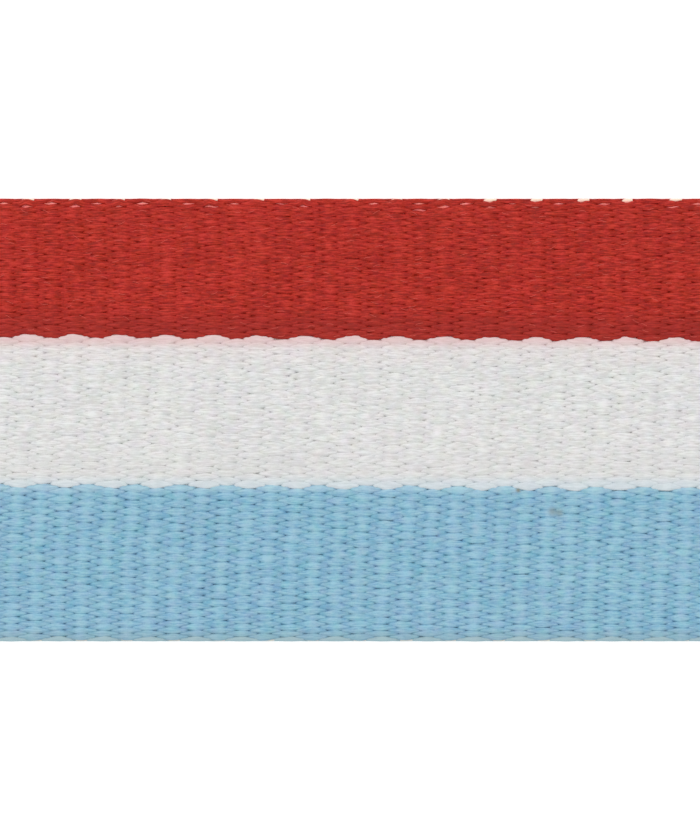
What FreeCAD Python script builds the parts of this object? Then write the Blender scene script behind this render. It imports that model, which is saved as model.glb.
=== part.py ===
"""A length of three-stripe medal ribbon, modelled yarn by yarn as it is woven.

The ribbon is a warp-faced plain weave (grosgrain). Coloured warp ends run along its length and rise
over and dip under a thick weft, which is laid back and forth across the width and returns round the
last warp end at each edge. The weft's picks are what make the ribs.

Frame, in millimetres: +X along the ribbon's length, +Y across its width towards the red edge, +Z out of
the ribbon's face. The origin is at the middle of the ribbon, on the plane that its back lies on.
"""

import os

import FreeCAD
import Part

# The driving dimensions: alias, value, what it is. Lengths are in millimetres.
SIZES = [
    ("red_width", 9.85, "red stripe, across the ribbon"),
    ("white_width", 10.55, "white stripe, across the ribbon"),
    ("blue_width", 10.90, "light blue stripe, across the ribbon"),
    ("rib_pitch", 1.632, "from one weft pick to the next"),
    ("rib_count", 37, "weft picks in the length"),
    ("red_ends", 43, "warp ends in the red stripe"),
    ("white_ends", 41, "warp ends in the white stripe"),
    ("blue_ends", 42, "warp ends in the light blue stripe"),
    ("groups_per_stripe", 14, "sub-parts that each stripe's warp ends are shared among"),
    ("end_gap", 0.05, "space between neighbouring warp ends"),
    ("end_thickness", 0.13, "warp end, from its face to its back"),
    ("ribbon_thickness", 0.72, "over the crests on both sides"),
    ("crest_land", 0.70, "straight part of a warp end over or under a pick"),
    ("weft_radius", 0.16, "weft yarn"),
    ("loop_gap", 0.03, "space between the last warp end and the weft round it"),
    ("loop_corner", 0.30, "bend of the weft's middle line at each corner of a return"),
]

# The stripes in order across the width, from -Y to +Y.
STRIPES = ["blue", "white", "red"]
WARP_WIDTH = "(Sizes.blue_width + Sizes.white_width + Sizes.red_width)"
STRIPE_START = {
    "blue": f"-{WARP_WIDTH} / 2",
    "white": f"Sizes.blue_width - {WARP_WIDTH} / 2",
    "red": f"{WARP_WIDTH} / 2 - Sizes.red_width",
}


def make_sheet(doc):
    """The spreadsheet that holds the driving dimensions, one to a row."""
    sheet = doc.addObject("Spreadsheet::Sheet", "Sizes")
    for row, (alias, value, meaning) in enumerate(SIZES, start=1):
        sheet.set(f"A{row}", meaning)
        sheet.set(f"B{row}", str(value))
        sheet.setAlias(f"B{row}", alias)
    doc.recompute()
    return sheet


def pick_places(sheet):
    """The X of every weft pick, spread evenly about the middle of the ribbon."""
    middle = (sheet.rib_count - 1) / 2
    return [(pick - middle) * sheet.rib_pitch for pick in range(int(sheet.rib_count))]


def make_wave(doc, sheet, name, over_first):
    """The side outline of a warp end: a strip that goes over one pick and under the next."""
    half_length = sheet.rib_count * sheet.rib_pitch / 2
    half_land = sheet.crest_land / 2
    thickness = sheet.end_thickness
    over, under = sheet.ribbon_thickness, thickness
    top = [(-half_length, (over + under) / 2)]
    for pick, x in enumerate(pick_places(sheet)):
        height = over if (pick % 2 == 0) == over_first else under
        top += [(x - half_land, height), (x + half_land, height)]
    top.append((half_length, (over + under) / 2))
    bottom = [(x, z - thickness) for x, z in reversed(top)]
    wave = doc.addObject("Part::Polygon", name)
    wave.Nodes = [FreeCAD.Vector(x, 0, z) for x, z in top + bottom]
    wave.Close = True
    return wave


def make_warp_end(doc, stripe, number, wave):
    """One warp end: its wave, made as wide as the stripe's width divided among its ends allows."""
    end_pitch = f"Sizes.{stripe}_width / Sizes.{stripe}_ends"
    end = doc.addObject("Part::Extrusion", f"{stripe}_end_{number + 1:02d}")
    end.Base = wave
    end.DirMode = "Custom"
    end.Dir = FreeCAD.Vector(0, 1, 0)
    end.Solid = True
    end.setExpression("LengthFwd", f"{end_pitch} - Sizes.end_gap")
    end.setExpression(
        "Placement.Base.y",
        f"{STRIPE_START[stripe]} + {number} * {end_pitch} + Sizes.end_gap / 2",
    )
    return end


def make_warp(doc, sheet):
    """The warp: neighbouring ends follow opposite waves, and each group of ends is one sub-part."""
    waves = [make_wave(doc, sheet, "wave_over", True), make_wave(doc, sheet, "wave_under", False)]
    group_count = int(sheet.groups_per_stripe)
    groups = []
    ends_before = 0
    for stripe in STRIPES:
        end_count = int(sheet.get(f"{stripe}_ends"))
        ends = [
            make_warp_end(doc, stripe, number, waves[(ends_before + number) % 2])
            for number in range(end_count)
        ]
        ends_before += end_count
        for place in range(group_count):
            first, after = (end_count * edge // group_count for edge in (place, place + 1))
            group = doc.addObject("Part::Compound", f"{stripe}_group_{place + 1:02d}")
            group.Links = ends[first:after]
            group.Label = f"{stripe}_warp_ends_{place + 1:02d}"
            groups.append(group)
    return groups


def weft_edges(sheet):
    """The weft's middle line: straight picks joined by square returns with rounded corners."""
    warp_half = (sheet.blue_width + sheet.white_width + sheet.red_width) / 2
    side = warp_half + sheet.loop_gap + sheet.weft_radius
    height = sheet.ribbon_thickness / 2
    corner = sheet.loop_corner
    bend = corner * (1 - 0.5**0.5)
    picks = pick_places(sheet)

    def point(x, y):
        return FreeCAD.Vector(x, y, height)

    edges = []
    start = point(picks[0], -warp_half)
    for pick, x in enumerate(picks):
        way = 1 if pick % 2 == 0 else -1
        if pick == len(picks) - 1:
            edges.append(Part.LineSegment(start, point(x, way * warp_half)))
            break
        across, out = way * (side - corner), way * side
        slant = way * (side - bend)
        following = picks[pick + 1]
        edges += [
            Part.LineSegment(start, point(x, across)),
            Part.Arc(point(x, across), point(x + bend, slant), point(x + corner, out)),
            Part.LineSegment(point(x + corner, out), point(following - corner, out)),
            Part.Arc(
                point(following - corner, out), point(following - bend, slant), point(following, across)
            ),
        ]
        start = point(following, across)
    return edges


def make_weft(doc, sheet):
    """The weft yarn: one continuous round yarn, swept along its path through every shed."""
    path = doc.addObject("Part::Feature", "weft_path")
    path.Shape = Part.Wire([edge.toShape() for edge in weft_edges(sheet)])
    start = path.Shape.Vertexes[0].Point
    section = doc.addObject("Part::Circle", "weft_section")
    section.setExpression("Radius", "Sizes.weft_radius")
    section.Placement = FreeCAD.Placement(start, FreeCAD.Rotation(FreeCAD.Vector(1, 0, 0), 90))
    weft = doc.addObject("Part::Sweep", "weft")
    weft.Sections = [section]
    weft.Spine = (path, [f"Edge{number}" for number in range(1, len(path.Shape.Edges) + 1)])
    weft.Solid = True
    weft.Frenet = False
    weft.Label = "weft_yarn"
    return weft


def check_document(doc, parts):
    """Stop if any object failed to compute, or a sub-part has no sound solid."""
    for obj in doc.Objects:
        if "Invalid" in obj.State or "Error" in obj.State:
            raise RuntimeError(f"{obj.Label} is {obj.State}")
    for obj in parts:
        if obj.Shape.isNull() or not obj.Shape.isValid() or not obj.Shape.Solids:
            raise RuntimeError(f"{obj.Label} has no sound solid")
        if min(solid.Volume for solid in obj.Shape.Solids) <= 0:
            raise RuntimeError(f"{obj.Label} has a solid that is inside out")


def main():
    doc = FreeCAD.newDocument("medal_ribbon")
    sheet = make_sheet(doc)
    parts = [*make_warp(doc, sheet), make_weft(doc, sheet)]
    doc.recompute()
    check_document(doc, parts)
    os.makedirs("parts", exist_ok=True)
    for obj in parts:
        obj.Shape.exportStep(f"parts/{obj.Label}.step")
    weft = parts[-1]
    section_area = 3.141592653589793 * sheet.weft_radius**2
    print(len(parts), "sub-parts,", sum(len(obj.Shape.Solids) for obj in parts), "solids")
    print("weft volume over section times length:", weft.Shape.Volume / section_area / weft.Spine[0].Shape.Length)


main()
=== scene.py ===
"""The looks of a three-stripe medal ribbon: every yarn of its weave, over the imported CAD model.

The ribbon is a warp-faced plain weave. Each warp end floats over one weft pick and dives under the next,
so the face is a brickwork of lens-shaped floats, and the picks beneath them are its ribs. Lengths are in
metres, in the CAD model's frame: +X along the ribbon, +Y towards its red edge, +Z out of its face.
"""

import math

import bpy
import numpy as np
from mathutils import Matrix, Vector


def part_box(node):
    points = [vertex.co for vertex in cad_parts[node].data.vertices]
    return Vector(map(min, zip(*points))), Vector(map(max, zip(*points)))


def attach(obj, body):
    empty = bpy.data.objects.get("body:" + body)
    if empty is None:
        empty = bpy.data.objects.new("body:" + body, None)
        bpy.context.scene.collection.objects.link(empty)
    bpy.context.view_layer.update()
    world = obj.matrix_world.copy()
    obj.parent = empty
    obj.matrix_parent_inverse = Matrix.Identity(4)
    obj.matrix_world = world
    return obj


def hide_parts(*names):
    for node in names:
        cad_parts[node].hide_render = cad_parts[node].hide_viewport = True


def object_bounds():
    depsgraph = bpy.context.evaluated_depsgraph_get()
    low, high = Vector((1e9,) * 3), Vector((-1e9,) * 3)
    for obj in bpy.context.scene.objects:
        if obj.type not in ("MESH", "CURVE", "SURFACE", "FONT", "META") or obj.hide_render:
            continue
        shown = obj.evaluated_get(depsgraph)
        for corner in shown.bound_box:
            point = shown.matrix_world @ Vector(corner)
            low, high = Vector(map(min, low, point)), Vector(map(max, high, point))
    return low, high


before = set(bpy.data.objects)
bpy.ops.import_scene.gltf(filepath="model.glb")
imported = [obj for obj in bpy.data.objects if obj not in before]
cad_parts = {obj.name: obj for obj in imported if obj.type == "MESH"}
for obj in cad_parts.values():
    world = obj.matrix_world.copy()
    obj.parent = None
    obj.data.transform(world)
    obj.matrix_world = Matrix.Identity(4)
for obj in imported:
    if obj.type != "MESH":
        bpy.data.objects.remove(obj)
cad_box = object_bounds()

MM = 0.001
SEED = 41
random = np.random.default_rng(SEED)

# ---------------------------------------------------------------- the weave, as the CAD model counts it
PICKS = 37
GROUPS = 14
STRIPES = {"blue": 42, "white": 41, "red": 43}
SLOTS = {"blue": "light_blue_yarn", "white": "white_yarn", "red": "red_yarn"}
ENDS = sum(STRIPES.values())
END_STRIPE = [stripe for stripe, count in STRIPES.items() for _ in range(count)]

low, high = cad_box
LENGTH = high.x - low.x
MIDDLE_Z = (low.z + high.z) / 2
HALF_THICKNESS = (high.z - low.z) / 2
PITCH = LENGTH / PICKS
EDGE_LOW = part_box("blue_warp_ends_01")[0].y
BLUE_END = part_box("white_warp_ends_01")[0].y
RED_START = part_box("red_warp_ends_01")[0].y
EDGE_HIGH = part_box(f"red_warp_ends_{GROUPS:02d}")[1].y
HALF_WIDTH = (EDGE_HIGH - EDGE_LOW) / 2

# ---------------------------------------------------------------- how the weave has been pulled about
END_FADE = 5 * MM
BOW_REACH = 1.05
BOW_SLANT = 1.15 * MM
BOW_SAG = -0.34 * MM
BOW_CURL = -0.61 * MM
WARP_DRIFT = -0.0065
PICK_WANDER = 0.012 * MM
EDGE_PACKING = 0.25
EDGE_PACKING_ENDS = 9
EDGE_MARGIN = 0.01 * MM
EDGE_GIVE = 0.2

# ---------------------------------------------------------------- warp ends
RINGS_PER_PICK = 10
WIDTH_NOISE_RINGS = 3
WARP_SIDES = 14
FLOAT_THICKNESS = 0.18 * MM
CREST_HEIGHT = HALF_THICKNESS
CROSSING_HEIGHT = 0.30 * MM
CREST_FLATNESS = 0.7
CREST_ROUNDNESS = 1.9
DIVE_ROUNDNESS = {"blue": 3.3, "white": 3.3, "red": 3.4}
SPREAD_POWER = {"blue": 1.0, "white": 0.95, "red": 0.95}
SQUARENESS = {"blue": (0.88, 0.70), "white": (0.85, 0.60), "red": (0.87, 0.64)}
YARN_SLIP = {"blue": 0.09 * MM, "white": 0.12 * MM, "red": 0.11 * MM}
DRAW_LIMIT = 1.6

# Half widths and sideways moves, as shares of the room that an end has across the ribbon.
FLOAT_SPREAD = {"blue": 1.21, "white": 1.32, "red": 1.24}
DIVE_SPREAD = {"blue": 0.77, "white": 0.80, "red": 0.80}
FLOAT_SHIFT = 0.10
GAP_PUSH = 0.42

# How far a float's width and height vary, as shares of themselves.
SPREAD_VARIES = 0.05
CREST_VARIES = 0.03
GAP_SQUEEZE = 0.40
WIDTH_NOISE = 0.05

# For each row of ends in from the red edge: how often a pick shows there, and how large its gap may be.
# The edge itself, which is row 0, is closed at the picks before EDGE_OPENS_FROM.
GAP_ROWS = ((1.00, 1.00), (0.85, 0.80), (0.50, 0.66), (0.12, 0.66))
GAP_LEAST = 0.7
GAP_SHARPNESS = 6
EDGE_OPENS_FROM = 23

# ---------------------------------------------------------------- loose fibres on the red floats
FIBRE_SHARE = 0.32
FIBRE_RINGS = 4
FIBRE_SIDES = 5
FIBRE_RADIUS = 0.022 * MM
FIBRE_LIFT = 0.02 * MM
FIBRE_SINK = 0.10
FIBRE_SCATTER_RINGS = 3
FIBRE_CURL_ANGLE = 3
# The loose fibres' tone lies beyond the range of the others, so they are painted lighter: a painted
# highlight.
FIBRE_HIGHLIGHT_TONE = 9.0

# Sideways, as shares of the room that the fibre's end has across the ribbon.
FIBRE_OFFSET = 0.6
FIBRE_LEAN = 0.35
FIBRE_CURL = 0.25

# ---------------------------------------------------------------- weft
WEFT_SIDES = 16
WEFT_RINGS = 96
WEFT_HALF_WIDTH = 0.60 * MM
WEFT_HALF_HEIGHT = 0.12 * MM
WEFT_GAP_LIFT = 0.19 * MM
WEFT_GAP_REACH = 0.12 * MM
WEFT_TURN_RINGS = 15
WEFT_TURN_HALF_WIDTH = 0.12 * MM
WEFT_TURN_HALF_HEIGHT = 0.20 * MM
WEFT_TURN_DEPTH = 0.22 * MM
WEFT_TURN_SQUARENESS = 0.7
WEFT_SHORT_OF_EDGE = 0.06 * MM
WEFT_OPENS_OVER = 0.35 * MM
WEFT_OPENING = 0.6
WEFT_STRANDS = 4
WEFT_STRAND_SWELL = 0.05
WEFT_TWIST = 0.6 * MM

WEFT_LOW = EDGE_LOW + WEFT_SHORT_OF_EDGE
WEFT_HIGH = EDGE_HIGH - WEFT_SHORT_OF_EDGE


def fade_at_ends(x):
    """1 over most of the length, falling to 0 at the cut ends, where the picks lie square to the cut."""
    inside = np.clip((LENGTH / 2 - np.abs(x)) / END_FADE, 0, 1)
    return inside * inside * (3 - 2 * inside)


def bow(y):
    """How far the picks are pulled along the ribbon at each place across it, as the weaving left them."""
    v = np.clip(y / HALF_WIDTH, -BOW_REACH, BOW_REACH)
    return BOW_SLANT * v + BOW_SAG * v**2 + BOW_CURL * v**3


def drift(x, y):
    """How far the warp runs off true across the ribbon, most in the middle and not at all at the edges."""
    v = np.clip(y / HALF_WIDTH, -1, 1)
    return WARP_DRIFT * x * (1 - v**2)


def pick_x(pick):
    return (pick - (PICKS - 1) / 2) * PITCH


PICK_SLIP = np.cumsum(random.normal(0, PICK_WANDER, PICKS))
PICK_SLIP -= PICK_SLIP.mean()


def end_places():
    """The middle of each warp end across the ribbon and its share of the width, from the blue edge up."""
    places, pitches = [], []
    for stripe, count in STRIPES.items():
        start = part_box(f"{stripe}_warp_ends_01")[0].y
        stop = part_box(f"{stripe}_warp_ends_{GROUPS:02d}")[1].y
        share = np.ones(count)
        if stripe == "blue":
            share -= EDGE_PACKING * np.exp(-np.arange(count) / EDGE_PACKING_ENDS)
        share *= (stop - start) / share.sum()
        places.append(start + np.cumsum(share) - share / 2)
        pitches.append(share)
    return np.concatenate(places), np.concatenate(pitches)


END_Y, END_PITCH = end_places()


def open_gaps():
    """Where the weft shows, at the red edge and between two floats in the loose rows beside it.

    For each end, at each pick: which way its float is pushed, and how far it is squeezed. A gap lies over
    an end that is under the pick, and the floats on both sides of it stand apart. Where the edge itself is
    closed, the float beside it is pushed out to cover it.
    """
    pushed = np.zeros((ENDS, 2, PICKS))
    gaps = []
    for row, (chance, largest) in enumerate(GAP_ROWS):
        end = ENDS - 1 - row
        for pick in range((end + 1) % 2, PICKS, 2):
            if row == 0 and pick < EDGE_OPENS_FROM:
                pushed[end - 1, 0, pick] += 1.0
            elif random.random() < chance:
                size = largest * random.uniform(GAP_LEAST, 1.0)
                pushed[end - 1, :, pick] += (-size, size)
                if row:
                    pushed[end + 1, :, pick] += (size, size)
                gaps.append((pick, END_Y[end], size))
    return pushed, gaps


PUSHED, GAPS = open_gaps()


# ---------------------------------------------------------------- meshes of yarns
def held_in(y):
    """Keeps the selvedges straight: most of what would bulge past an edge is pressed back to it."""
    over = np.clip(y - (EDGE_HIGH - EDGE_MARGIN), 0, None)
    under = np.clip((EDGE_LOW + EDGE_MARGIN) - y, 0, None)
    return y - (1 - EDGE_GIVE) * over + (1 - EDGE_GIVE) * under


def rounded(value, power):
    return np.sign(value) * np.abs(value) ** power


def tube(centre, side, up, half_width, half_height, sides, lobes=None, squareness=(1, 1)):
    """Rings of an oval yarn round a middle line, capped at both ends: corners, faces and turns round it."""
    count = len(centre)
    angle = np.arange(sides) * 2 * math.pi / sides
    swell = np.ones((count, sides)) if lobes is None else lobes
    across = rounded(np.cos(angle), squareness[0])
    upward = rounded(np.sin(angle), squareness[1])
    out = (half_width[:, None] * across * swell)[..., None] * side[:, None, :]
    lift = (half_height[:, None] * upward * swell)[..., None] * up[:, None, :]
    corners = (centre[:, None, :] + out + lift).reshape(-1, 3)
    corners[:, 1] = held_in(corners[:, 1])

    ring = np.arange(count - 1)[:, None] * sides
    here = np.arange(sides)
    after = (here + 1) % sides
    quads = np.stack([ring + here, ring + after, ring + sides + after, ring + sides + here], axis=-1)
    caps = [list(range(sides))[::-1], list(range((count - 1) * sides, count * sides))]
    turns = np.tile(angle / (2 * math.pi), count)
    return corners, quads.reshape(-1, 4).tolist() + caps, turns


def along_ribbon(number, line, half_width, half_height, sides, tone, squareness=(1, 1)):
    """The mesh of a yarn or fibre that runs along the ribbon, and each corner's place in its yarn."""
    side = np.tile([0.0, 1.0, 0.0], (len(line), 1))
    up = np.tile([0.0, 0.0, 1.0], (len(line), 1))
    corners, faces, turns = tube(line, side, up, half_width, half_height, sides, squareness=squareness)
    place = [np.repeat(line[:, 0], sides), turns + number, np.repeat(tone, sides)]
    return corners, faces, np.stack(place, axis=1)


def smooth_noise(count, every):
    """Random values between -1 and 1, one for each ring, that change steadily from ring to ring."""
    knots = random.uniform(-1, 1, count // every + 2)
    return np.interp(np.arange(count) / every, np.arange(len(knots)), knots)


def top_height(rise, roundness, crest_height):
    """How high an end's top is: rise is 1 over a pick, 0 between two picks and -1 under a pick."""
    above = CROSSING_HEIGHT + (crest_height - CROSSING_HEIGHT) * np.clip(rise, 0, 1) ** CREST_ROUNDNESS
    fall = CROSSING_HEIGHT + CREST_HEIGHT - FLOAT_THICKNESS
    return above - fall * np.clip(-rise, 0, 1) ** roundness


def warp_end(number):
    """One warp end: a float over each second pick and a float under each of the others."""
    draws = [np.clip(random.normal(0, 1, PICKS), -DRAW_LIMIT, DRAW_LIMIT) for _ in range(5)]
    s = np.linspace(-0.5, PICKS - 0.5, PICKS * RINGS_PER_PICK + 1)

    def along(values):
        return np.interp(s, np.arange(PICKS), values)

    spread, slip, shift, tone, lift = (along(draw) for draw in draws)
    push, squeeze = (along(pushed) for pushed in PUSHED[number])
    y0, pitch, stripe = END_Y[number], END_PITCH[number], END_STRIPE[number]

    phase = 1 if number % 2 == 0 else -1
    wave = phase * np.cos(math.pi * s)
    rise = np.tanh(CREST_FLATNESS * wave) / math.tanh(CREST_FLATNESS)
    crest = np.abs(rise)
    at_gap = crest**GAP_SHARPNESS

    moved = bow(y0) + along(PICK_SLIP) + slip * YARN_SLIP[stripe]
    x = pick_x(s) + fade_at_ends(pick_x(s)) * moved
    y = y0 + drift(x, y0) + (shift * FLOAT_SHIFT * crest + push * GAP_PUSH * at_gap) * pitch

    crest_height = CREST_HEIGHT * (1 + CREST_VARIES * lift)
    top = top_height(rise, DIVE_ROUNDNESS[stripe], crest_height)
    bottom = -top_height(-rise, DIVE_ROUNDNESS[stripe], crest_height)
    line = np.stack([x, y, MIDDLE_Z + (top + bottom) / 2], axis=1)

    dive, widest = DIVE_SPREAD[stripe], FLOAT_SPREAD[stripe]
    varied = 1 + SPREAD_VARIES * spread * crest - GAP_SQUEEZE * squeeze * at_gap
    varied += WIDTH_NOISE * smooth_noise(len(s), WIDTH_NOISE_RINGS)
    half_width = pitch * (dive + (widest - dive) * np.abs(wave) ** SPREAD_POWER[stripe]) * varied
    half_height = (top - bottom) / 2
    yarn = along_ribbon(number, line, half_width, half_height, WARP_SIDES, tone, SQUARENESS[stripe])
    return [yarn, *loose_fibres(number, line, top, pitch)] if stripe == "red" else [yarn]


def loose_fibres(number, yarn_line, top, pitch):
    """Filaments that have worked loose from an end's floats and lie on them, a little above the others."""
    fibres = []
    rings = np.arange(FIBRE_RINGS)
    share = rings / (FIBRE_RINGS - 1)
    radius = np.full(FIBRE_RINGS, FIBRE_RADIUS)
    tone = np.full(FIBRE_RINGS, FIBRE_HIGHLIGHT_TONE)
    for pick in range(PICKS):
        if (number + pick) % 2 or random.random() > FIBRE_SHARE:
            continue
        middle = pick * RINGS_PER_PICK + RINGS_PER_PICK // 2
        middle += random.integers(-FIBRE_SCATTER_RINGS, FIBRE_SCATTER_RINGS + 1)
        first = int(np.clip(middle - FIBRE_RINGS // 2, 0, len(yarn_line) - FIBRE_RINGS))
        offset = random.uniform(-FIBRE_OFFSET, FIBRE_OFFSET)
        lean = random.normal(0, FIBRE_LEAN)
        curl = random.uniform(0, 2 * math.pi)
        bend = lean * (share - 0.5) + FIBRE_CURL * np.sin(curl + FIBRE_CURL_ANGLE * share)
        line = yarn_line[first + rings].copy()
        line[:, 1] += pitch * (offset + bend)
        surface = top[first + rings] * (1 - FIBRE_SINK * abs(offset))
        line[:, 2] = MIDDLE_Z + surface + FIBRE_LIFT * np.sin(math.pi * share)
        fibres.append(along_ribbon(number, line, radius, radius, FIBRE_SIDES, tone))
    return fibres


def weft_x(pick, y):
    """How far along the ribbon a pick lies, at each place across it."""
    return pick_x(pick) + fade_at_ends(pick_x(pick)) * (bow(y) + PICK_SLIP[pick])


def weft_section(inside):
    """The weft's half width and half height, at each distance in from the end of a return."""
    opened = np.clip(inside / WEFT_OPENS_OVER, 0, 1) ** WEFT_OPENING
    half_width = WEFT_TURN_HALF_WIDTH + (WEFT_HALF_WIDTH - WEFT_TURN_HALF_WIDTH) * opened
    half_height = WEFT_TURN_HALF_HEIGHT + (WEFT_HALF_HEIGHT - WEFT_TURN_HALF_HEIGHT) * opened
    return half_width, half_height


def weft_crossing(pick, start, stop):
    """One pick from edge to edge, raised where it shows in a gap: its middle line and its section."""
    ease = (1 - np.cos(np.linspace(0, math.pi, WEFT_RINGS))) / 2
    y = start + (stop - start) * ease
    z = np.full_like(y, MIDDLE_Z)
    for gap_pick, gap_y, size in GAPS:
        if gap_pick == pick:
            z += size * WEFT_GAP_LIFT * np.exp(-(((y - gap_y) / WEFT_GAP_REACH) ** 2))
    line = np.stack([weft_x(pick, y), y, z], axis=1)
    return line, *weft_section(np.minimum(y - WEFT_LOW, WEFT_HIGH - y))


def weft_return(pick, stop, way):
    """The turn from one pick to the next: its middle line and its section."""
    angle = np.linspace(0, math.pi, WEFT_TURN_RINGS + 2)[1:-1]
    here, following = weft_x(pick, stop), weft_x(pick + 1, stop)
    x = (here + following) / 2 - (following - here) / 2 * rounded(np.cos(angle), WEFT_TURN_SQUARENESS)
    out = np.sin(angle) ** WEFT_TURN_SQUARENESS
    line = np.stack([x, stop + way * WEFT_TURN_DEPTH * out, np.full_like(x, MIDDLE_Z)], axis=1)
    return line, *weft_section(WEFT_TURN_DEPTH * (1 - out))


def weft_yarn():
    """The weft: one continuous yarn of four strands, flat under the warp and round at its returns."""
    stretches = []
    for pick in range(PICKS):
        way = 1 if pick % 2 == 0 else -1
        start = (WEFT_LOW if way > 0 else WEFT_HIGH) + way * WEFT_TURN_DEPTH
        stop = (WEFT_HIGH if way > 0 else WEFT_LOW) - way * WEFT_TURN_DEPTH
        if pick == 0:
            start = EDGE_LOW
        if pick == PICKS - 1:
            stop = EDGE_HIGH if way > 0 else EDGE_LOW
        stretches.append(weft_crossing(pick, start, stop))
        if pick < PICKS - 1:
            stretches.append(weft_return(pick, stop, way))
    line, half_width, half_height = (np.concatenate(parts) for parts in zip(*stretches))

    tangent = np.gradient(line, axis=0)
    tangent /= np.linalg.norm(tangent, axis=1)[:, None]
    up = np.tile([0.0, 0.0, 1.0], (len(line), 1))
    side = np.cross(up, tangent)
    steps = np.linalg.norm(np.diff(line, axis=0), axis=1)
    length = np.concatenate([[0], np.cumsum(steps)])
    angle = np.arange(WEFT_SIDES) * 2 * math.pi / WEFT_SIDES
    twist = WEFT_STRANDS * angle[None, :] + length[:, None] / WEFT_TWIST
    lobes = 1 + WEFT_STRAND_SWELL * np.cos(twist)
    corners, faces, turns = tube(line, side, up, half_width, half_height, WEFT_SIDES, lobes)
    distance = np.repeat(length, WEFT_SIDES)
    return corners, faces, np.stack([distance, turns, np.zeros_like(turns)], axis=1)


# ---------------------------------------------------------------- colours, as linear light
# Each stop is a point on the material's ramp, from dark filaments to light ones, and its colour.
RED_STOPS = ((0.42, (0.25, 0.008, 0.003)), (0.51, (0.385, 0.0165, 0.008)), (0.60, (0.53, 0.034, 0.022)))
WHITE_STOPS = ((0.42, (0.58, 0.577, 0.568)), (0.60, (0.728, 0.731, 0.728)))
BLUE_STOPS = ((0.42, (0.165, 0.345, 0.485)), (0.60, (0.28, 0.49, 0.60)))

# Each cast is a measure, where the other colour starts, where it is in full, that colour and its share.
# "y" is the place across the ribbon, "end" the warp end's number and the turn round it, and "loose" the
# tone, which only loose fibres have above DRAW_LIMIT.
RED_CASTS = (
    # Painted shade: the red darkens over the last 2.4 mm before the white stripe.
    ("y", RED_START + 2.4 * MM, RED_START + 0.6 * MM, (0.24, 0.014, 0.010), 0.45),
    # Painted highlight: the modelled loose fibres turn a lighter orange-red, as if catching the light.
    ("loose", 3.0, 8.0, (0.82, 0.14, 0.11), 0.55),
)
WHITE_CASTS = (
    # The white turns faintly pink from 2.6 mm before the red stripe. The darker pink of its last 0.95 mm is
    # painted shade.
    ("y", RED_START - 2.6 * MM, RED_START - 0.9 * MM, (0.80, 0.50, 0.50), 0.10),
    ("y", RED_START - 0.95 * MM, RED_START - 0.15 * MM, (0.66, 0.36, 0.36), 0.50),
    # Painted shade: the white greys towards the blue stripe, from 3.6 mm away from it.
    ("y", BLUE_END + 3.6 * MM, BLUE_END + 1.2 * MM, (0.58, 0.58, 0.58), 0.25),
    ("y", BLUE_END + 1.0 * MM, BLUE_END + 0.1 * MM, (0.45, 0.62, 0.72), 0.35),
)
BLUE_CASTS = (
    ("y", BLUE_END - 0.6 * MM, BLUE_END, (0.60, 0.72, 0.76), 0.25),
    # Painted shade: the blue darkens and greys over the last 1 mm at its outer edge, and its outermost end
    # is greyer still.
    ("y", EDGE_LOW + 1.0 * MM, EDGE_LOW + 0.4 * MM, (0.25, 0.36, 0.39), 0.35),
    ("end", 1.1, 0.9, (0.37, 0.47, 0.47), 0.50),
)

# Each stain is its place on the face, its reach, and the share of DIRT at its middle.
DIRT = (0.18, 0.14, 0.06)
BLUE_STAINS = (
    ((12.1 * MM, -4.93 * MM), 0.32 * MM, 0.90),
    ((14.5 * MM, -6.45 * MM), 0.50 * MM, 0.45),
    ((15.0 * MM, -6.55 * MM), 0.45 * MM, 0.40),
)

UNDYED = (0.88, 0.70, 0.57)
WEFT_IN_BLUE = (0.30, 0.50, 0.60)
WEFT_IN_WHITE = (0.80, 0.78, 0.75)
WEFT_IN_RED = (0.92, 0.22, 0.20)
# Painted shade: the weft greys where it turns at the blue edge.
WEFT_SHADED_AT_BLUE_EDGE = (0.60, 0.60, 0.56)
WEFT_BLEED = 0.003 * (EDGE_HIGH - EDGE_LOW)
WEFT_STOPS = (
    (EDGE_LOW + 0.10 * MM, WEFT_SHADED_AT_BLUE_EDGE),
    (EDGE_LOW + 0.35 * MM, WEFT_IN_BLUE),
    (BLUE_END - WEFT_BLEED, WEFT_IN_BLUE),
    (BLUE_END + WEFT_BLEED, WEFT_IN_WHITE),
    (RED_START - WEFT_BLEED, WEFT_IN_WHITE),
    (RED_START + WEFT_BLEED, WEFT_IN_RED),
    (EDGE_HIGH - 0.30 * MM, WEFT_IN_RED),
    (EDGE_HIGH - 0.10 * MM, UNDYED),
)

# ---------------------------------------------------------------- materials
FILAMENTS_ALONG = 1300.0
FILAMENTS_AROUND = 18.0
CLOUD_SCALE = 180.0
MOTTLE_SCALE = 1500.0
GRAIN_SCALE = 9000.0
WEFT_GRAIN_SCALE = 4000.0
TONE_RANGE = 2.5
TONE_PART = 0.12
MOTTLE_PART = 0.10
CLOUD_PART = 0.05
CLOUD_TINT = 0.25
WEFT_TINT = 0.06
HOLLOW_HEIGHT = 0.24 * MM
BUMP_STRENGTH = 0.5
BUMP_DEPTH = 0.03 * MM
YARN_SPECULAR = 0.2
SHEEN = 0.03
SHEEN_ROUGHNESS = 0.4
WEFT_ROUGHNESS = 0.8


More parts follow.
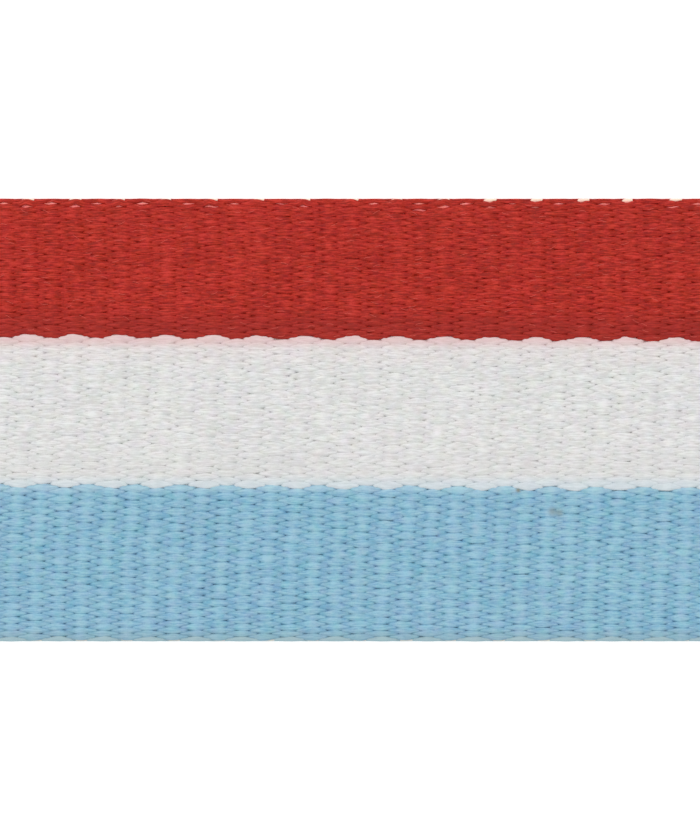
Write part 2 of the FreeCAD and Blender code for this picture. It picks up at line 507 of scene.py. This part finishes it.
def stretched_noise(nodes, links, parts, along, around, detail):
    """Noise drawn out along the yarn, from the distance along it and the turn round it."""
    joined = nodes.new("ShaderNodeCombineXYZ")
    for axis, scale in (("X", along), ("Y", around)):
        scaled = nodes.new("ShaderNodeMath")
        scaled.operation = "MULTIPLY"
        scaled.inputs[1].default_value = scale
        links.new(parts.outputs[axis], scaled.inputs[0])
        links.new(scaled.outputs[0], joined.inputs[axis])
    noise = nodes.new("ShaderNodeTexNoise")
    noise.inputs["Scale"].default_value = 1.0
    noise.inputs["Detail"].default_value = detail
    links.new(joined.outputs[0], noise.inputs["Vector"])
    return noise


def cloth_noise(nodes, links, scale, detail):
    """Noise over the whole cloth, in features of about one over the scale, in metres."""
    noise = nodes.new("ShaderNodeTexNoise")
    noise.inputs["Scale"].default_value = scale
    noise.inputs["Detail"].default_value = detail
    where = nodes.new("ShaderNodeTexCoord")
    links.new(where.outputs["Object"], noise.inputs["Vector"])
    return noise


def mixed(nodes, links, first, second, share):
    mix = nodes.new("ShaderNodeMix")
    mix.data_type = "FLOAT"
    mix.inputs["Factor"].default_value = share
    links.new(first, mix.inputs["A"])
    links.new(second, mix.inputs["B"])
    return mix.outputs["Result"]


def colour_ramp(nodes, links, value, stops):
    ramp = nodes.new("ShaderNodeValToRGB")
    elements = ramp.color_ramp.elements
    elements.remove(elements[1])
    elements[0].position = stops[0][0]
    elements[0].color = (*stops[0][1], 1)
    for position, colour in stops[1:]:
        elements.new(position).color = (*colour, 1)
    links.new(value, ramp.inputs["Fac"])
    return ramp.outputs["Color"]


def tinted(nodes, links, colour, tint, share):
    """A colour with a little coloured noise added to it."""
    mix = nodes.new("ShaderNodeMix")
    mix.data_type = "RGBA"
    mix.blend_type = "LINEAR_LIGHT"
    mix.inputs["Factor"].default_value = share
    links.new(colour, mix.inputs["A"])
    links.new(tint, mix.inputs["B"])
    return mix.outputs["Result"]


def cast(nodes, links, colour, measure, start, stop, other, share):
    """Mixes another colour in as a measure goes from start, with none of it, to stop, with its share."""
    amount = nodes.new("ShaderNodeMapRange")
    amount.interpolation_type = "SMOOTHSTEP"
    amount.inputs["From Min"].default_value = start
    amount.inputs["From Max"].default_value = stop
    amount.inputs["To Max"].default_value = share
    links.new(measure, amount.inputs["Value"])
    mix = nodes.new("ShaderNodeMix")
    mix.data_type = "RGBA"
    mix.inputs["B"].default_value = (*other, 1)
    links.new(amount.outputs["Result"], mix.inputs["Factor"])
    links.new(colour, mix.inputs["A"])
    return mix.outputs["Result"]


def stain(nodes, links, colour, where, place, reach, share):
    """A small dirt mark on the face, strongest at its place and gone at its reach."""
    distance = nodes.new("ShaderNodeVectorMath")
    distance.operation = "DISTANCE"
    distance.inputs[1].default_value = (*place, MIDDLE_Z + CREST_HEIGHT)
    links.new(where, distance.inputs[0])
    return cast(nodes, links, colour, distance.outputs["Value"], reach, 0.0, DIRT, share)


def painted_shade_share(nodes, links, z):
    """From 0 in the hollows between the floats to 1 on their crests, on the face and on the back alike:
    painted shade, which darkens the hollows and lightens the crests.
    """
    from_middle = nodes.new("ShaderNodeMath")
    from_middle.operation = "SUBTRACT"
    from_middle.inputs[1].default_value = MIDDLE_Z
    links.new(z, from_middle.inputs[0])
    away = nodes.new("ShaderNodeMath")
    away.operation = "ABSOLUTE"
    links.new(from_middle.outputs[0], away.inputs[0])
    share = nodes.new("ShaderNodeMapRange")
    share.inputs["From Min"].default_value = HOLLOW_HEIGHT
    share.inputs["From Max"].default_value = CREST_HEIGHT
    links.new(away.outputs[0], share.inputs["Value"])
    return share.outputs["Result"]


def new_material(name, roughness, specular):
    material = bpy.data.materials.new(name)
    material.use_nodes = True
    shader = material.node_tree.nodes["Principled BSDF"]
    shader.inputs["Roughness"].default_value = roughness
    shader.inputs["Specular IOR Level"].default_value = specular
    return material, shader


def roughen(nodes, links, height, shader):
    """Bumps as deep as the filaments of a yarn."""
    bump = nodes.new("ShaderNodeBump")
    bump.inputs["Strength"].default_value = BUMP_STRENGTH
    bump.inputs["Distance"].default_value = BUMP_DEPTH
    links.new(height, bump.inputs["Height"])
    links.new(bump.outputs["Normal"], shader.inputs["Normal"])


def yarn_material(name, stops, casts, roughness, tint, grain_part, painted_shade_part=0.0, stains=()):
    """Yarn of fine filaments: streaks along it, floats that differ, a little dye unevenness, and the
    painted shade and highlights of its casts and hollows.
    """
    material, shader = new_material(name, roughness, YARN_SPECULAR)
    nodes, links = material.node_tree.nodes, material.node_tree.links
    place = nodes.new("ShaderNodeAttribute")
    place.attribute_name = "yarn_place"
    parts = nodes.new("ShaderNodeSeparateXYZ")
    links.new(place.outputs["Vector"], parts.inputs[0])
    where = nodes.new("ShaderNodeTexCoord")
    position = nodes.new("ShaderNodeSeparateXYZ")
    links.new(where.outputs["Object"], position.inputs[0])

    filaments = stretched_noise(nodes, links, parts, FILAMENTS_ALONG, FILAMENTS_AROUND, detail=3.0)
    cloud = cloth_noise(nodes, links, CLOUD_SCALE, detail=3.0)
    mottle = cloth_noise(nodes, links, MOTTLE_SCALE, detail=2.0)
    grain = cloth_noise(nodes, links, GRAIN_SCALE, detail=1.0)
    tone = nodes.new("ShaderNodeMapRange")
    tone.inputs["From Min"].default_value = -TONE_RANGE
    tone.inputs["From Max"].default_value = TONE_RANGE
    links.new(parts.outputs["Z"], tone.inputs["Value"])

    value = mixed(nodes, links, filaments.outputs["Fac"], tone.outputs["Result"], TONE_PART)
    value = mixed(nodes, links, value, mottle.outputs["Fac"], MOTTLE_PART)
    value = mixed(nodes, links, value, grain.outputs["Fac"], grain_part)
    value = mixed(nodes, links, value, cloud.outputs["Fac"], CLOUD_PART)
    # Painted shade: the colour darkens in the hollows and lightens on the crests, by height.
    value = mixed(nodes, links, value, painted_shade_share(nodes, links, position.outputs["Z"]), painted_shade_part)

    colour = colour_ramp(nodes, links, value, stops)
    colour = tinted(nodes, links, colour, mottle.outputs["Color"], tint)
    colour = tinted(nodes, links, colour, cloud.outputs["Color"], CLOUD_TINT * tint)
    measures = {"y": position.outputs["Y"], "end": parts.outputs["Y"], "loose": parts.outputs["Z"]}
    for measure, start, stop, other, share in casts:
        colour = cast(nodes, links, colour, measures[measure], start, stop, other, share)
    for spot, reach, share in stains:
        colour = stain(nodes, links, colour, where.outputs["Object"], spot, reach, share)
    links.new(colour, shader.inputs["Base Color"])

    roughen(nodes, links, filaments.outputs["Fac"], shader)
    shader.inputs["Sheen Weight"].default_value = SHEEN
    shader.inputs["Sheen Roughness"].default_value = SHEEN_ROUGHNESS
    return material


def weft_material(name):
    """Undyed yarn, which has taken up some of the dye of each stripe that it passes through, and is painted
    grey as shade at the blue edge.
    """
    material, shader = new_material(name, WEFT_ROUGHNESS, YARN_SPECULAR)
    nodes, links = material.node_tree.nodes, material.node_tree.links
    where = nodes.new("ShaderNodeTexCoord")
    position = nodes.new("ShaderNodeSeparateXYZ")
    links.new(where.outputs["Object"], position.inputs[0])
    across = nodes.new("ShaderNodeMapRange")
    across.inputs["From Min"].default_value = EDGE_LOW
    across.inputs["From Max"].default_value = EDGE_HIGH
    links.new(position.outputs["Y"], across.inputs["Value"])
    stops = [((y - EDGE_LOW) / (EDGE_HIGH - EDGE_LOW), colour) for y, colour in WEFT_STOPS]
    colour = colour_ramp(nodes, links, across.outputs["Result"], stops)
    grain = cloth_noise(nodes, links, WEFT_GRAIN_SCALE, detail=2.0)
    colour = tinted(nodes, links, colour, grain.outputs["Color"], WEFT_TINT)
    links.new(colour, shader.inputs["Base Color"])
    roughen(nodes, links, grain.outputs["Fac"], shader)
    return material


MATERIALS = {
    "red_yarn": yarn_material(
        "red_yarn", RED_STOPS, RED_CASTS, roughness=0.55, tint=0.006, grain_part=0.16
    ),
    "white_yarn": yarn_material(
        "white_yarn", WHITE_STOPS, WHITE_CASTS, roughness=0.6, tint=0.04, grain_part=0.12
    ),
    "light_blue_yarn": yarn_material(
        "light_blue_yarn", BLUE_STOPS, BLUE_CASTS, roughness=0.55, tint=0.05, grain_part=0.15,
        painted_shade_part=0.10, stains=BLUE_STAINS
    ),
    "weft_yarn": weft_material("weft_yarn"),
}


# ---------------------------------------------------------------- pieces
def make_piece(node, slot, yarns):
    """One piece that stands for a CAD node: its yarns in one mesh, on the ribbon's one body."""
    corners, faces, places, before = [], [], [], 0
    for yarn_corners, yarn_faces, yarn_places in yarns:
        corners.append(yarn_corners)
        faces += [[before + corner for corner in face] for face in yarn_faces]
        places.append(yarn_places)
        before += len(yarn_corners)
    mesh = bpy.data.meshes.new(f"{node}_yarn")
    mesh.from_pydata(np.concatenate(corners).tolist(), [], faces)
    attribute = mesh.attributes.new("yarn_place", "FLOAT_VECTOR", "POINT")
    attribute.data.foreach_set("vector", np.concatenate(places).astype(np.float32).ravel())
    mesh.shade_smooth()
    mesh.materials.append(MATERIALS[slot])
    piece = bpy.data.objects.new(f"{node}_yarn", mesh)
    bpy.context.collection.objects.link(piece)
    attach(piece, "root")
    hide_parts(node)
    return piece


def make_warp():
    pieces = []
    before = 0
    for stripe, count in STRIPES.items():
        for group in range(GROUPS):
            first = before + count * group // GROUPS
            after = before + count * (group + 1) // GROUPS
            yarns = [yarn for number in range(first, after) for yarn in warp_end(number)]
            pieces.append(make_piece(f"{stripe}_warp_ends_{group + 1:02d}", SLOTS[stripe], yarns))
        before += count
    return pieces


warp = make_warp()
weft = make_piece("weft_yarn", "weft_yarn", [weft_yarn()])

# ---------------------------------------------------------------- floor, light and camera
FLOOR_HALF = 2.0
FLOOR_COLOUR = (0.72, 0.72, 0.72, 1)
FLOOR_GLOW = 0.5
FLOOR_ROUGHNESS = 0.9
SKY_STRENGTH = 0.98
KEY_PLACE = (-0.35, 0.75, 0.9)
KEY_SIZE = 0.5
KEY_POWER = 3.5
CAMERA_HEIGHT = 0.8
CAMERA_X = 0.2 * MM
SENSOR_WIDTH = 36.0
CLIP_START = 0.01
RIBBON_WIDTHS_SEEN = 1.584
WHITE = (1, 1, 1, 1)


def make_floor():
    material, shader = new_material("floor", FLOOR_ROUGHNESS, 0.0)
    shader.inputs["Base Color"].default_value = FLOOR_COLOUR
    shader.inputs["Emission Color"].default_value = WHITE
    shader.inputs["Emission Strength"].default_value = FLOOR_GLOW
    signs = ((-1, -1), (1, -1), (1, 1), (-1, 1))
    corners = [(x * FLOOR_HALF, y * FLOOR_HALF, cad_box[0].z) for x, y in signs]
    mesh = bpy.data.meshes.new("floor")
    mesh.from_pydata(corners, [], [(0, 1, 2, 3)])
    mesh.materials.append(material)
    floor = bpy.data.objects.new("floor", mesh)
    bpy.context.collection.objects.link(floor)


def make_light():
    """A soft light above the ribbon, beyond its red edge and to its left."""
    light = bpy.data.lights.new("key", "AREA")
    light.shape = "SQUARE"
    light.size = KEY_SIZE
    light.energy = KEY_POWER
    lamp = bpy.data.objects.new("key", light)
    lamp.location = KEY_PLACE
    direction = -lamp.location.normalized()
    lamp.rotation_euler = direction.to_track_quat("-Z", "Y").to_euler()
    bpy.context.collection.objects.link(lamp)


def make_world():
    world = bpy.data.worlds.new("studio")
    world.use_nodes = True
    sky = world.node_tree.nodes["Background"]
    sky.inputs["Color"].default_value = WHITE
    sky.inputs["Strength"].default_value = SKY_STRENGTH
    bpy.context.scene.world = world


def make_camera():
    """A long lens straight above the ribbon's face, close enough that both cut ends are out of view."""
    camera = bpy.data.cameras.new("camera")
    camera.sensor_fit = "HORIZONTAL"
    camera.sensor_width = SENSOR_WIDTH
    camera.lens = SENSOR_WIDTH * CAMERA_HEIGHT / (RIBBON_WIDTHS_SEEN * 2 * HALF_WIDTH)
    camera.clip_start = CLIP_START
    eye = bpy.data.objects.new("camera", camera)
    eye.location = (CAMERA_X, 0.0, CAMERA_HEIGHT)
    bpy.context.collection.objects.link(eye)
    bpy.context.scene.camera = eye


make_floor()
make_light()
make_world()
make_camera()
bpy.context.scene.view_settings.view_transform = "Standard"
